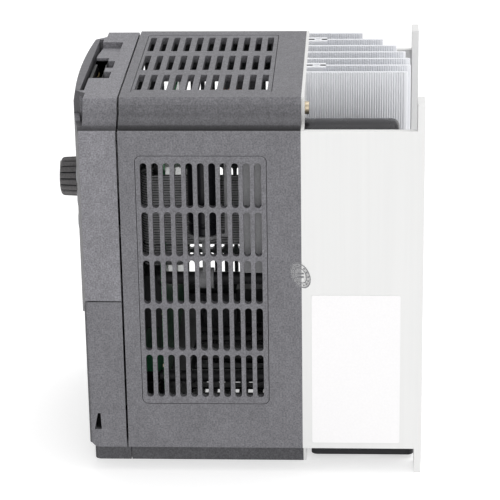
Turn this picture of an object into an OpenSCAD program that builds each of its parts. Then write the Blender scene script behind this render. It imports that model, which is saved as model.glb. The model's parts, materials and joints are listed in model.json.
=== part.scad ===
// Wall-mounted variable frequency drive: a moulded housing with vent panels and front covers,
// a plug-in keypad, the power electronics, and an aluminium heatsink bay with capacitors and fans.
// Frame: +X is the drive's right side, +Y points back to the wall, +Z is up.
// The origin is the centre of the four wall holes, on the plane of the wall.

/* [Body] */
// Height over the wall ears and the moulded body
body_h = 186; // [182:1:190]
// Width across the side faces and the aluminium side plates
body_w = 140; // [138:1:144]
// Width of the narrow crown at the top and of the chin at the bottom
crown_w = 114.8; // [113:0.2:116]
// Height of the stepped crown and of the chin
step_h = 12.7; // [12.4:0.1:13]
// Wall thickness of the moulded parts
wall = 2.4; // [2:0.1:2.6]

/* [Depth] */
// From the wall to the rear face of the heatsink base plate
bay_depth = 55.5; // [55:0.1:56]
// From the wall to the front edge of the housing
housing_depth = 141.4; // [141:0.1:143]
// From the wall to the middle of the convex front face
front_depth = 167.5; // [166:0.5:169]
// Radius of the convex front face, seen from above
front_radius = 310; // [280:10:340]
// Open joint between the housing and the front cover
cover_gap = 1; // [0.5:0.1:1.2]

/* [Vents] */
// Width of a side vent slot
slot_w = 3.3; // [2.8:0.1:3.5]
// Length of a side vent slot
slot_l = 22.1; // [20:0.1:22.5]
// Distance between side vent columns
slot_pitch = 5.3; // [5.2:0.02:5.4]
// Distance between side vent rows
row_pitch = 24.1; // [23.6:0.1:24.4]
// Width of a top vent slot
top_slot_w = 3.1; // [2.8:0.1:3.4]
// Length of a top vent slot
top_slot_l = 25; // [21:0.5:26]
// Distance between top vent columns
top_slot_pitch = 5.92; // [5.8:0.02:6]

/* [Keypad] */
// Width of the plug-in keypad
keypad_w = 88; // [86:1:90]
// Height of the keypad's lower edge above the middle of the drive
keypad_low = 4.4; // [4:0.1:5]
// Height of the speed knob's axis above the middle of the drive
knob_z = 34.5; // [34:0.5:35]
// Radius of the speed knob
knob_r = 10; // [9:0.5:10]
// Travel of the keypad buttons
button_travel = 0.8; // [0.5:0.1:0.9]

/* [Heatsink bay] */
// Thickness of the aluminium side plates
plate_t = 3; // [2.5:0.1:3]
// Thickness of the wall ears
ear_t = 3.4; // [3:0.1:3.6]
// Width of the wall ears
ear_w = 13; // [12:0.5:13]
// Radius of the wall holes
wall_hole_r = 2.6; // [2.2:0.1:3]
// Thickness of a cooling fin
fin_t = 2; // [1.6:0.1:2.2]
// Distance between fins
fin_pitch = 11.6; // [11.4:0.1:11.7]
// Radius of a DC link capacitor
link_cap_r = 17.5; // [17:0.1:17.5]
// Side of a square cooling fan
fan_w = 50; // [49:0.5:50]

/* [Hidden] */
$fn = 48;
tiny = 0.01;

top_z = body_h / 2;
side_x = body_w / 2;
crown_x = crown_w / 2;
side_top = top_z - step_h;
base_rear = -bay_depth;
base_lip = base_rear - 1.5;
base_front = base_rear - 6;
housing_front = -housing_depth;
cover_rear = housing_front - cover_gap;
front_y = -front_depth;
front_axis_y = front_radius - front_depth;

// The joint between the two covers is an arc that dips towards the middle of the front.
seam_side_z = -3.8;
seam_mid_z = -29;
seam_rise = seam_side_z - seam_mid_z;
seam_r = (side_x * side_x + seam_rise * seam_rise) / (2 * seam_rise);
seam_gap = 0.6;
lower_setback = 0.8;
lower_flat_x = 41;
lower_corner_r = 2.2;

cap_x = 48;
cap_top_z = 61.5;
cap_pitch = 37;
cap_count = 4;
cap_rear = -11.3;
board_t = 1.6;
power_board_y = base_front - 8.5;
power_front = power_board_y - board_t;
control_board_y = -122.4;
control_front = control_board_y - board_t;

vent_rows = 5;
vent_cols = 11;
vent_first_y = -130;
vent_top_z = top_z - 28.1;
panel_gap = 0.3;
side_panel_y = [-134, -72.8];
side_panel_z = [top_z - 150.2, top_z - 24.5];
top_panel_x = [-50, 50];
top_panel_y = [-137, -70.8];
top_vent_first_y = -133.8;
top_row_pitch = 33;

boss_x = 48.4;
boss_z = top_z - 8;

keypad_x = keypad_w / 2;
tub_rear = -150;
tub_top = 81;
lip_rear = -161.2;
brow_drop = 2.4;
brow_h = 13;
brow_r = 550;
knob_tip = front_y - 11;
knob_rear = front_y - 0.6;
shaft_r = 3;

fan_x = 29.5;
fan_y = base_rear / 2 - 0.45;
fan_low = -top_z + 2;
fan_high = fan_low + 15;
fan_bore_r = fan_w / 2 - 1.5;
fan_pin_r = 1.5;
tray_t = 1.4;
fin_low = fan_high + 4;
fin_xs = [for (i = [0:6]) -53 + i * fin_pitch];
fin_arc_r = 72;
wall_hole_x = side_x - ear_w / 2;
wall_hole_z = side_top + step_h / 2;

// ---- Helpers: prisms along each axis, blocks by limits, and rods -------------------------------

module along_x(low, high) {
    translate([low, 0, 0]) rotate([90, 0, 90]) linear_extrude(high - low) children();
}

module along_y(front, back) {
    translate([0, back, 0]) rotate([90, 0, 0]) linear_extrude(back - front) children();
}

module along_z(low, high) {
    translate([0, 0, low]) linear_extrude(high - low) children();
}

module block(x, y, z) {
    translate([x[0], y[0], z[0]]) cube([x[1] - x[0], y[1] - y[0], z[1] - z[0]]);
}

module rod_y(x, z, r, front, back) {
    translate([x, front, z]) rotate([-90, 0, 0]) cylinder(r = r, h = back - front);
}

module rod_z(x, y, r, low, high) {
    translate([x, y, low]) cylinder(r = r, h = high - low);
}

module mirror_x() {
    children();
    mirror([1, 0, 0]) children();
}

// Closes a list of right-hand points with their mirror images.
function mirrored(points) =
    concat(points, [for (i = [len(points) - 1:-1:0]) [-points[i][0], points[i][1]]]);

// Where the front face lies at a distance x from the middle.
function face_y(x) = front_axis_y - sqrt(front_radius * front_radius - x * x);

module rounded_rect(low, high, r) {
    translate([low[0] + r, low[1]]) square([high[0] - low[0] - 2 * r, high[1] - low[1]]);
    translate([low[0], low[1] + r]) square([high[0] - low[0], high[1] - low[1] - 2 * r]);
    for (x = [low[0] + r, high[0] - r], y = [low[1] + r, high[1] - r]) translate([x, y]) circle(r);
}

module stadium(w, l) {
    square([w, l - w], center = true);
    for (s = [-1, 1]) translate([0, s * (l - w) / 2]) circle(w / 2);
}

// ---- Outlines of the moulded body, seen from the front -----------------------------------------

module body_outline() {
    polygon(mirrored([
        [crown_x, top_z], [crown_x + 2.6, top_z - 2.8], [crown_x + 3, top_z - 7],
        [side_x - 4.5, top_z - 11], [side_x - 3.4, side_top - 2.1], [side_x - 1.4, side_top - 2.1],
        [side_x - 1.1, side_top], [side_x, side_top - 0.4],
        [side_x, -side_top], [crown_x, -side_top], [crown_x, -top_z]
    ]));
}

module body_inside(low_z = -top_z + wall) {
    polygon(mirrored([
        [crown_x - wall, top_z - wall], [crown_x, top_z - 9], [side_x - 8, side_top - 2],
        [side_x - 8, side_top - 4.5], [side_x - wall, side_top - 4.5],
        [side_x - wall, -side_top + wall], [crown_x - wall, -side_top + wall], [crown_x - wall, low_z]
    ]));
}

cover_top = top_z - 0.6;

module cover_outline() {
    polygon(mirrored([
        [crown_x, cover_top], [crown_x + 2.6, cover_top - 2.8], [crown_x + 3.2, cover_top - 6.6],
        [side_x - 4.5, cover_top - 10.8], [side_x - 3, side_top - 1], [side_x - 1.3, side_top - 1],
        [side_x - 1.1, side_top], [side_x, side_top - 0.4], [side_x, -side_top]
    ]));
}

module cover_inside() {
    polygon(mirrored([
        [crown_x - wall, cover_top - wall], [crown_x, top_z - 9], [side_x - 8, side_top - 2],
        [side_x - 8, side_top - 4.5], [side_x - wall, side_top - 4.5], [side_x - wall, -side_top + wall]
    ]));
}

// The space in front of the housing, behind the convex face, moved in by a margin.
module front_space(margin) {
    translate([0, front_axis_y, -top_z]) cylinder(r = front_radius - margin, h = body_h, $fn = 720);
}

module above_seam(extra) {
    rod_y(0, seam_mid_z + seam_r, seam_r + extra, front_y - 1, cover_rear + 1, $fn = 120);
}

// Leans the keypad's face back near the top edge, which stays slightly curved.
module brow_cut() {
    difference() {
        block([-side_x - 1, side_x + 1], [front_y - 5, front_y + 9], [top_z - brow_h - 2, top_z + 1]);
        translate([0, front_y, top_z - brow_h]) rotate([-atan(brow_drop / brow_h), 0, 0])
            translate([0, brow_r, -20]) cylinder(r = brow_r, h = 60, $fn = 720);
    }
}

// ---- Housing and vent panels -------------------------------------------------------------------

module housing() {
    color("dimgray") difference() {
        union() {
            difference() {
                along_y(housing_front, base_lip) body_outline();
                along_y(housing_front - 1, base_lip + 1) body_inside();
            }
            for (x = [-boss_x, boss_x], s = [-1, 1]) {
                rod_y(x, s * boss_z, 4.2, base_front - 13, base_front);
                translate([x - 1, base_front - 7, s > 0 ? boss_z : -top_z + 1])
                    cube([2, 7, top_z - 1 - boss_z]);
            }
        }
        for (x = [-boss_x, boss_x], z = [-boss_z, boss_z])
            rod_y(x, z, 1.3, base_front - 12, base_front + 1);
        // Windows that the vent panels fill
        mirror_x() along_x(side_x - wall - 1, side_x + 1)
            rounded_rect([side_panel_y[0], side_panel_z[0]], [side_panel_y[1], side_panel_z[1]], 3);
        along_z(top_z - wall - 1, top_z + 1)
            rounded_rect([top_panel_x[0], top_panel_y[0]], [top_panel_x[1], top_panel_y[1]], 2);
        // Air inlet slots in the chin
        for (x = [-26, 26], i = [0:7])
            block([x - 16, x + 16], [-128 + i * 8, -124.5 + i * 8], [-top_z - 1, -top_z + wall + 1]);
    }
}

// A side panel: a plate flush with the face, a thin rim behind the wall, and rows of slots.
module side_vent_panel() {
    color("dimgray") difference() {
        union() {
            along_x(side_x - wall, side_x - 0.15) rounded_rect(
                [side_panel_y[0] + panel_gap, side_panel_z[0] + panel_gap],
                [side_panel_y[1] - panel_gap, side_panel_z[1] - panel_gap], 2.6);
            along_x(side_x - wall - 1.2, side_x - wall) rounded_rect(
                [side_panel_y[0] - 1.6, side_panel_z[0] - 1.6],
                [side_panel_y[1] + 1.6, side_panel_z[1] + 1.6], 3);
        }
        along_x(side_x - wall - 2, side_x + 1)
            for (c = [0:vent_cols - 1], r = [0:vent_rows - 1])
                translate([vent_first_y + c * slot_pitch, vent_top_z - slot_l / 2 - r * row_pitch])
                    stadium(slot_w, slot_l);
    }
}

module right_vent_panel() {
    side_vent_panel();
}

module left_vent_panel() {
    mirror([1, 0, 0]) side_vent_panel();
}

module top_vent_panel() {
    color("dimgray") difference() {
        union() {
            along_z(top_z - wall, top_z - 0.15) rounded_rect(
                [top_panel_x[0] + panel_gap, top_panel_y[0] + panel_gap],
                [top_panel_x[1] - panel_gap, top_panel_y[1] - panel_gap], 1.6);
            along_z(top_z - wall - 1.2, top_z - wall) rounded_rect(
                [top_panel_x[0] - 1.6, top_panel_y[0] - 1.6],
                [top_panel_x[1] + 1.6, top_panel_y[1] + 1.6], 2);
        }
        along_z(top_z - wall - 2, top_z + 1)
            for (c = [0:vent_cols - 1], r = [-1:1])
                translate([r * top_row_pitch, top_vent_first_y + c * top_slot_pitch])
                    rounded_rect([-top_slot_l / 2, -top_slot_w / 2], [top_slot_l / 2, top_slot_w / 2], 0.6);
    }
}

// ---- Front cover, terminal cover and cable entry -----------------------------------------------

port_x = [-10, 24.5];
port_y = [-159.5, -153];
port_window_y = [-153.5, -149.5];
ramp_x = [-39, -13];
ramp_y = [-160, -149];
crown_front = -158.2;
cover_screw_x = 60;
cover_screw_z = -14;

module front_cover() {
    color("gray") difference() {
        union() {
            difference() {
                intersection() {
                    along_y(front_y - 1, cover_rear) cover_outline();
                    front_space(0);
                    above_seam(0);
                }
                intersection() {
                    along_y(front_y - 1, cover_rear + 1) cover_inside();
                    front_space(wall);
                }
            }
            // Tub that holds the keypad, and the shelf over it
            intersection() {
                block([-keypad_x - 2.4, keypad_x + 2.4], [front_y, tub_rear],
                    [keypad_low - 3, cover_top - 0.2]);
                front_space(0.6);
                above_seam(-1);
            }
            // Front wall of the crown, set back beside the keypad
            intersection() {
                along_y(crown_front, crown_front + wall) cover_outline();
                block([-side_x, side_x], [crown_front - 1, 0], [side_top - 1, top_z]);
            }
            // Ears that the cover screws hold
            mirror_x() {
                block([cover_screw_x - 5, side_x - wall - 0.2], [-146, cover_rear],
                    [cover_screw_z - 4, 4]);
                block([cover_screw_x, side_x - wall + 0.2], [-146, cover_rear], [seam_side_z + 1, 4]);
            }
        }
        // Seat of the keypad
        block([-keypad_x - 0.4, keypad_x + 0.4], [front_y - 1, tub_rear - 2], [keypad_low - 0.4, tub_top]);
        block([-keypad_x - 0.4, keypad_x + 0.4], [front_y - 1, lip_rear + 2], [tub_top - 1, top_z + 1]);
        // Hole for the keypad's plug
        block([-14, 14], [tub_rear - 3, tub_rear + 1], [12, 22]);
        // Bevel beside the keypad at the crown
        mirror_x() along_z(side_top + 1, top_z + 1) polygon([
            [keypad_x + 0.4, crown_front - 5], [keypad_x + 5, crown_front], [side_x + 1, crown_front],
            [side_x + 1, front_y - 1], [keypad_x + 0.4, front_y - 1]
        ]);
        // Finger ramp, port and catch windows in the top
        along_y(ramp_y[0], ramp_y[1])
            polygon([[ramp_x[0], cover_top + 1], [ramp_x[0], cover_top - 3.2], [ramp_x[1], cover_top + 0.1],
                [ramp_x[1], cover_top + 1]]);
        block(port_x, port_y, [cover_top - 7, top_z]);
        block([-5, 7], port_window_y, [cover_top - 7, top_z]);
        block([13.7, 24.5], port_window_y, [cover_top - 7, top_z]);
        for (s = [-1, 1]) rod_y(s * cover_screw_x, cover_screw_z, 1.7, -150, cover_rear + 1);
    }
}

module service_port() {
    color("darkslategray") difference() {
        block([port_x[0] + 0.2, port_x[1] - 0.2], [port_y[0] + 0.2, port_y[1] - 0.2],
            [cover_top - 7, cover_top - 1.2]);
        block([-1.5, 21], [-158, -154], [cover_top - 6, cover_top]);
        block([-8.6, -2.7], [-159, -153.6], [cover_top - 3.2, cover_top]);
    }
}

latch_z = [-71, -62.4];
latch_y = [-157.7, -154.2];

// The lower face follows the arc in the middle, then runs straight out to a rounded corner.
module lower_space() {
    reach = sqrt(pow(front_radius - lower_setback, 2) - lower_flat_x * lower_flat_x);
    lean = atan(lower_flat_x / reach);
    corner_x = side_x - lower_corner_r;
    corner_y = front_axis_y - reach + (corner_x - lower_flat_x) * tan(lean) + lower_corner_r / cos(lean);
    front_space(lower_setback);
    mirror_x() {
        rod_z(corner_x, corner_y, lower_corner_r, -side_top, seam_side_z + 1);
        along_z(-side_top, seam_side_z + 1) polygon([
            [lower_flat_x, front_axis_y - reach],
            [corner_x + lower_corner_r * sin(lean), corner_y - lower_corner_r * cos(lean)],
            [corner_x, corner_y], [side_x, corner_y], [side_x, cover_rear], [lower_flat_x, cover_rear]]);
    }
}

module terminal_cover() {
    bottom_r = 5;
    edge_y = face_y(side_x) - 0.6;
    color("gray") difference() {
        intersection() {
            along_y(front_y - 1, cover_rear) polygon([
                [-side_x, -side_top], [side_x, -side_top],
                [side_x, seam_side_z + 1], [-side_x, seam_side_z + 1]]);
            lower_space();
        }
        // Rounds the lower front edge
        along_x(-side_x - 1, side_x + 1) difference() {
            polygon([[front_y - 1, -side_top - 1], [edge_y + bottom_r, -side_top - 1],
                [edge_y + bottom_r, -side_top + bottom_r], [edge_y + 0.8, -side_top + 2],
                [front_y - 1, -side_top + 3.2]]);
            translate([edge_y + bottom_r, -side_top + bottom_r]) circle(bottom_r);
        }
        above_seam(seam_gap);
        intersection() {
            along_y(front_y - 1, cover_rear + 1)
                translate([-side_x + wall, -side_top + wall]) square([body_w - 2 * wall, body_h]);
            front_space(lower_setback + wall);
        }
        // Way in for the cables
        block([-crown_x + 4, crown_x - 4], [-156, cover_rear + 1], [-side_top - 1, -side_top + wall + 1]);
        // Catch windows in the sides
        along_x(-side_x - 1, side_x + 1) polygon([
            [latch_y[0], latch_z[0]], [latch_y[1], latch_z[0]], [latch_y[1] - 0.4, latch_z[1]],
            [latch_y[0] + 1.8, latch_z[1]]]);
    }
}

grommet_xs = [-32, 0, 32];
grommet_r = 7;
tray_y = [-159.7, housing_front - 0.3];
grommet_y = -150.8;

module entry_tray() {
    color("gray") difference() {
        along_z(-top_z, -side_top - 0.2) {
            rounded_rect([-crown_x, tray_y[0]], [crown_x, tray_y[1] - 4], 3);
            translate([-crown_x, tray_y[0] + 4]) square([crown_w, tray_y[1] - tray_y[0] - 4]);
        }
        block([-crown_x + 2, crown_x - 2], [tray_y[0] + 2, tray_y[1] + 1], [-top_z + 3, -side_top + 1]);
        for (x = grommet_xs) rod_z(x, grommet_y, grommet_r - 1.4, -top_z - 1, -top_z + 4);
    }
}

// Thin rubber rings clipped round the cable holes.
module cable_grommets() {
    color("black") for (x = grommet_xs) difference() {
        union() {
            rod_z(x, grommet_y, grommet_r - 1.5, -top_z + 0.2, -top_z + 3);
            rod_z(x, grommet_y, grommet_r - 0.2, -top_z + 3, -top_z + 5);
        }
        rod_z(x, grommet_y, grommet_r - 2.4, -top_z, -top_z + 6);
    }
}

// ---- Keypad ------------------------------------------------------------------------------------

window_x = 27;
window_z = [58, 76];
button_w = 12;
button_h = 7.5;
button_rear = -158.5;
button_proud = 0.4;
keypad_board_y = -156;
button_places = [[-29, 46], [-29, 34.5], [-29, 23], [29, 46], [29, 34.5], [29, 23], [-10, 13], [10, 13]];

module keypad_case() {
    color("dimgray") difference() {
        intersection() {
            union() {
                block([-keypad_x, keypad_x], [front_y - 1, lip_rear], [keypad_low, cover_top]);
                block([-keypad_x, keypad_x], [lip_rear - 1, tub_rear - 2.4], [keypad_low, tub_top - 0.4]);
            }
            front_space(0);
        }
        brow_cut();
        intersection() {
            block([-keypad_x + 2, keypad_x - 2], [front_y, tub_rear], [keypad_low + 2, tub_top - 2.4]);
            front_space(2.4);
        }
        block([-window_x, window_x], [front_y - 1, -160], window_z);
        rod_y(0, knob_z, 4, front_y - 1, -160);
        for (p = button_places)
            block([p[0] - button_w / 2 - 0.3, p[0] + button_w / 2 + 0.3], [front_y - 1, -160],
                [p[1] - button_h / 2 - 0.3, p[1] + button_h / 2 + 0.3]);
        for (x = [32, 37]) rod_y(x, 67, 1.6, front_y - 1, -160);
    }
}

module keypad_back() {
    color("black") {
        block([-keypad_x + 2.2, keypad_x - 2.2], [-154, -152.6], [keypad_low + 2.2, tub_top - 2.6]);
        block([-12, 12], [-152.6, -147], [13, 21]);
    }
}

module keypad_board() {
    color("darkgreen") block([-keypad_x + 2.3, keypad_x - 2.3], [keypad_board_y - 1.5, keypad_board_y],
        [keypad_low + 2.3, tub_top - 2.7]);
}

module display_window() {
    color("darkred") intersection() {
        block([-window_x + 0.1, window_x - 0.1], [front_y, front_y + 3.4],
            [window_z[0] + 0.1, window_z[1] - 0.1]);
        front_space(0.5);
    }
}

module digit_display() {
    color("black") block([-25, 25], [-163.6, -157.6], [59, 75]);
}

module status_lamps() {
    color("lime") for (x = [32, 37]) {
        rod_y(x, 67, 1.4, face_y(x) + 0.2, -159);
        rod_y(x, 67, 2.2, -160.4, -157.6);
    }
}

module potentiometer() {
    color("silver") difference() {
        union() {
            block([-7, 7], [-163.6, -157.6], [knob_z - 7, knob_z + 7]);
            rod_y(0, knob_z, 3.8, front_y + 0.1, -163.6);
        }
        rod_y(0, knob_z, shaft_r + 0.05, front_y - 1, -160);
    }
}

module potentiometer_shaft() {
    color("silver") rod_y(0, knob_z, shaft_r, knob_tip + 3.5, -160.4);
}

// A fluted knob with a domed end and a bore for the shaft.
module speed_knob() {
    flutes = 18;
    dome_r = 34;
    color("darkslategray") difference() {
        intersection() {
            rod_y(0, knob_z, knob_r, knob_tip, knob_rear);
            translate([0, knob_tip + dome_r, knob_z]) sphere(r = dome_r, $fn = 96);
            translate([0, knob_tip, knob_z]) rotate([-90, 0, 0])
                cylinder(r1 = knob_r - 1.2, r2 = knob_r + 9, h = knob_rear - knob_tip);
        }
        rod_y(0, knob_z, shaft_r, knob_tip + 3.5, knob_rear + 1);
        for (i = [0:flutes - 1]) rotate_about_knob(i * 360 / flutes)
            rod_y(0, knob_z + knob_r + 0.3, 0.8, knob_tip - 1, knob_rear - 1.2);
        // Pointer groove
        block([-0.6, 0.6], [knob_tip - 1, knob_tip + 1.2], [knob_z + 3, knob_z + knob_r + 1]);
    }
}

module rotate_about_knob(angle) {
    translate([0, 0, knob_z]) rotate([0, angle, 0]) translate([0, 0, -knob_z]) children();
}

// A keypad button: a cap that stands proud of the face and a flange that keeps it in.
module button(index) {
    p = button_places[index];
    color("slategray") {
        intersection() {
            along_y(front_y - 1, -161.4) translate(p)
                rounded_rect([-button_w / 2, -button_h / 2], [button_w / 2, button_h / 2], 1.5);
            front_space(-button_proud);
        }
        block([p[0] - button_w / 2 - 0.8, p[0] + button_w / 2 + 0.8], [-161.4, button_rear],
            [p[1] - button_h / 2 - 0.8, p[1] + button_h / 2 + 0.8]);
    }
}

module menu_button() button(0);
module shift_button() button(1);
module jog_button() button(2);
module up_button() button(3);
module enter_button() button(4);
module down_button() button(5);
module run_button() button(6);
module stop_button() button(7);

// ---- Control electronics -----------------------------------------------------------------------

post_x = 57;
post_zs = [3, -48];
power_post_places = [[24, 66], [30, -68], [-58, 66], [-58, -68]];

module control_board() {
    color("green") difference() {
        along_y(control_front, control_board_y)
            polygon([[-62, -53], [62, -53], [62, 17], [42, 17], [42, 70], [-62, 70]]);
        // Slot for the ribbon cable
        block([42, 47], [control_front - 1, control_board_y + 1], [ribbon_z[0] - 1.6, 18]);
        for (x = [-post_x, post_x], z = post_zs) rod_y(x, z, 1.6, control_front - 1, control_board_y + 1);
    }
}

// Threaded posts with their end screws: long ones carry the control board, short ones the power board.
module board_posts() {
    color("goldenrod") {
        for (x = [-post_x, post_x], z = post_zs) {
            rod_y(x, z, 3, control_board_y, power_front);
            rod_y(x, z, 1.5, control_front - 0.2, control_board_y);
            rod_y(x, z, 2.8, control_front - 2.2, control_front - 0.05);
        }
        for (p = power_post_places) {
            rod_y(p[0], p[1], 3, power_board_y, base_front);
            rod_y(p[0], p[1], 1.5, power_front - 0.1, power_board_y);
            rod_y(p[0], p[1], 2.8, power_front - 2, power_front - 0.05);
        }
    }
}

module control_chips() {
    chips = [[-30, 24, 14, 14], [5, 28, 10, 16], [-8, -12, 20, 9], [-40, 50, 16, 8]];
    color("black") for (c = chips)
        block([c[0], c[0] + c[2]], [control_front - 2.2, control_front], [c[1], c[1] + c[3]]);
    // Relay
    color("black") block([30, 50], [control_front - 10, control_front], [-26, 1]);
    // Header that the keypad plugs into
    color("black") block([-11, 11], [-146.9, control_front], [13.5, 20.5]);
}

// A row of green screw clamps with round wire mouths.
module control_terminals() {
    ways = 16;
    pitch = 6;
    low_x = -ways * pitch / 2;
    color("green") difference() {
        block([low_x, -low_x], [control_front - 12, control_front], [-50, -40]);
        for (i = [0:ways - 1]) {
            rod_y(low_x + (i + 0.5) * pitch, -43.4, 1.9, control_front - 13, control_front - 8);
            rod_z(low_x + (i + 0.5) * pitch, control_front - 6, 1.6, -51, -45);
        }
    }
}

// ---- Power electronics -------------------------------------------------------------------------

module power_board() {
    color("darkgreen") difference() {
        block([-64, 64], [power_front, power_board_y], [-74, 75.6]);
        for (p = power_post_places) rod_y(p[0], p[1], 1.6, power_front - 1, power_board_y + 1);
    }
}

module power_module() {
    color("dimgray") block([-50, 6], [power_board_y + 0.05, base_front - 0.05], [-2, 44]);
}

module rectifier_bridge() {
    color("black") difference() {
        block([-48, -14], [power_board_y + 0.05, base_front - 0.05], [-44, -16]);
        rod_y(-31, -30, 2.2, power_board_y - 1, base_front + 1);
    }
}

module precharge_relay() {
    color("white") block([-22, 0], [-92, power_front - 0.05], [-44, -26]);
}

transformer_y = [-99, -78];

module transformer_core() {
    color("darkslategray") for (z = [38, 70]) block([-46, -18], transformer_y, [z - 4, z + 4]);
    color("darkslategray") for (x = [-44, -20]) block([x - 2, x + 2], transformer_y, [42, 66]);
}

module transformer_winding() {
    color("gold") {
        rod_z(-32, -88.5, 9.3, 42.2, 65.8);
        block([-40, -24], [-80, power_front - 0.05], [44, 64]);
    }
}

ribbon_z = [4.6, 50.5];
ribbon_t = 1;
split_z = [15, 15.4];
split_y = -117;

module ribbon_turn() {
    difference() {
        circle(5.5);
        circle(4.5);
        translate([-6, 0]) square([12, 6]);
    }
}

// The cable runs forward from its rear socket, turns over and comes back to the control board.
// Behind the board its lowest ways part from the rest and turn back to a socket of their own.
module ribbon_cable() {
    front = -134;
    color("lightgray") {
        along_z(ribbon_z[0], ribbon_z[1]) {
            translate([44, front + 5]) square([ribbon_t, split_y - front - 5]);
            translate([34, front + 5]) square([ribbon_t, control_front - 4.2 - front - 5]);
            translate([39.5, front + 5]) ribbon_turn();
        }
        along_z(split_z[1], ribbon_z[1])
            translate([44, split_y - 1]) square([ribbon_t, -80.2 - split_y + 1]);
        along_z(ribbon_z[0], split_z[0]) {
            translate([39.5, split_y]) mirror([0, 1, 0]) ribbon_turn();
            translate([34, control_board_y + 4.2])
                square([ribbon_t, split_y - control_board_y - 4.2]);
        }
    }
}

module ribbon_sockets() {
    color("black") {
        block([40, 49], [-80, power_front - 0.05], [ribbon_z[0] - 2, ribbon_z[1] + 1.5]);
        block([30, 39], [control_front - 4, control_front - 0.05], [ribbon_z[0] - 2, ribbon_z[1] + 2]);
        block([30, 39], [control_board_y + 0.05, control_board_y + 4],
            [ribbon_z[0] - 2, split_z[0] + 1]);
    }
}

module film_capacitor() {
    color("lightgray") block([52, 64], [-86, power_front - 0.05], [8, 65]);
}

filter_cap = [56.5, -103];
filter_cap_r = 7.8;
rail_y = [-93.4, -91.8];

module filter_capacitor() {
    color("midnightblue") {
        rod_z(filter_cap[0], filter_cap[1], filter_cap_r - 0.4, 26.2, 27);
        rod_z(filter_cap[0], filter_cap[1], filter_cap_r, 27, 67);
    }
}

// A post that grips a control post and carries the filter capacitor, with a rail behind it.
module capacitor_cradle() {
    color("dimgray") difference() {
        union() {
            rod_z(filter_cap[0], filter_cap[1], filter_cap_r, 24.6, 26.2);
            block([54, 59], [filter_cap[1], rail_y[1]], [24.6, 26.2]);
            block([54, 59], rail_y, [24.6, 62]);
            block([53.5, 60.5], [filter_cap[1] - 1.2, filter_cap[1] + 1.2], [5, 24.6]);
            rod_y(post_x, post_zs[0], 5, filter_cap[1] - 4, filter_cap[1] + 4);
        }
        rod_y(post_x, post_zs[0], 3.05, filter_cap[1] - 5, filter_cap[1] + 5);
    }
}

choke = [40, -93];
choke_z = [77, 87];

module choke_core() {
    color("darkslategray") difference() {
        rod_z(choke[0], choke[1], 12, choke_z[0], choke_z[1]);
        rod_z(choke[0], choke[1], 7, choke_z[0] - 1, choke_z[1] + 1);
    }
}

module choke_winding() {
    color("peru") for (a = [110, 290]) translate([choke[0], choke[1], 0]) rotate([0, 0, a])
        rotate_extrude(angle = 140, $fn = 64) difference() {
            translate([5.2, choke_z[0] - 1.8]) square([8.6, choke_z[1] - choke_z[0] + 3.6]);
            translate([6.95, choke_z[0] - 0.05]) square([5.1, choke_z[1] - choke_z[0] + 0.1]);
        }
}

module choke_shelf() {
    color("dimgray") block([27, 53], [-107, power_front - 0.05], [73, 75.1]);
}

// ---- Power terminals ---------------------------------------------------------------------------

terminal_ways = 9;
terminal_pitch = 12;
terminal_low_x = -terminal_ways * terminal_pitch / 2;
terminal_y = [-138, -114];
terminal_z = [-76.2, -58];

module main_terminals() {
    color("darkslategray") difference() {
        block([terminal_low_x - 2, -terminal_low_x + 2], terminal_y, terminal_z);
        for (i = [0:terminal_ways - 1]) {
            middle = terminal_low_x + (i + 0.5) * terminal_pitch;
            block([middle - 4.8, middle + 4.8], [terminal_y[0] - 1, terminal_y[0] + 11], [-74, -57]);
        }
    }
}

module terminal_screws() {
    color("silver") for (i = [0:terminal_ways - 1]) {
        middle = terminal_low_x + (i + 0.5) * terminal_pitch;
        block([middle - 4.2, middle + 4.2], [terminal_y[0] + 8, terminal_y[0] + 10.8], [-72, -59.5]);
        difference() {
            rod_y(middle, -66, 3.4, terminal_y[0] + 4, terminal_y[0] + 8);
            translate([middle, terminal_y[0] + 4.6, -66]) cube([0.9, 1.6, 5], center = true);
            translate([middle, terminal_y[0] + 4.6, -66]) cube([5, 1.6, 0.9], center = true);
        }
    }
}

module busbars() {
    color("peru") for (i = [0:terminal_ways - 1]) {
        middle = terminal_low_x + (i + 0.5) * terminal_pitch;
        block([middle - 3, middle + 3], [terminal_y[1], power_front - 0.05], [-69, -67.8]);
    }
}

module terminal_shelf() {
    color("dimgray") difference() {
        block([-66, 66], [-141, -108], [-77.8, -76.25]);
        for (x = [-60, 60]) rod_z(x, -124, 1.7, -79, -75);
    }
}

// ---- Heatsink bay ------------------------------------------------------------------------------

tab_zs = [43, 6, -31, -72];
tab_x = [60.6, side_x - plate_t];
tab_h = 8;
tab_screw_x = 63.6;

module link_capacitors() {
    color("midnightblue") for (i = [0:cap_count - 1]) {
        z = cap_top_z - i * cap_pitch;
        rod_y(cap_x, z, link_cap_r, power_board_y, cap_rear - 1.6);
        rod_y(cap_x, z, link_cap_r - 1.6, cap_rear - 1.6, cap_rear);
    }
}

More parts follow.
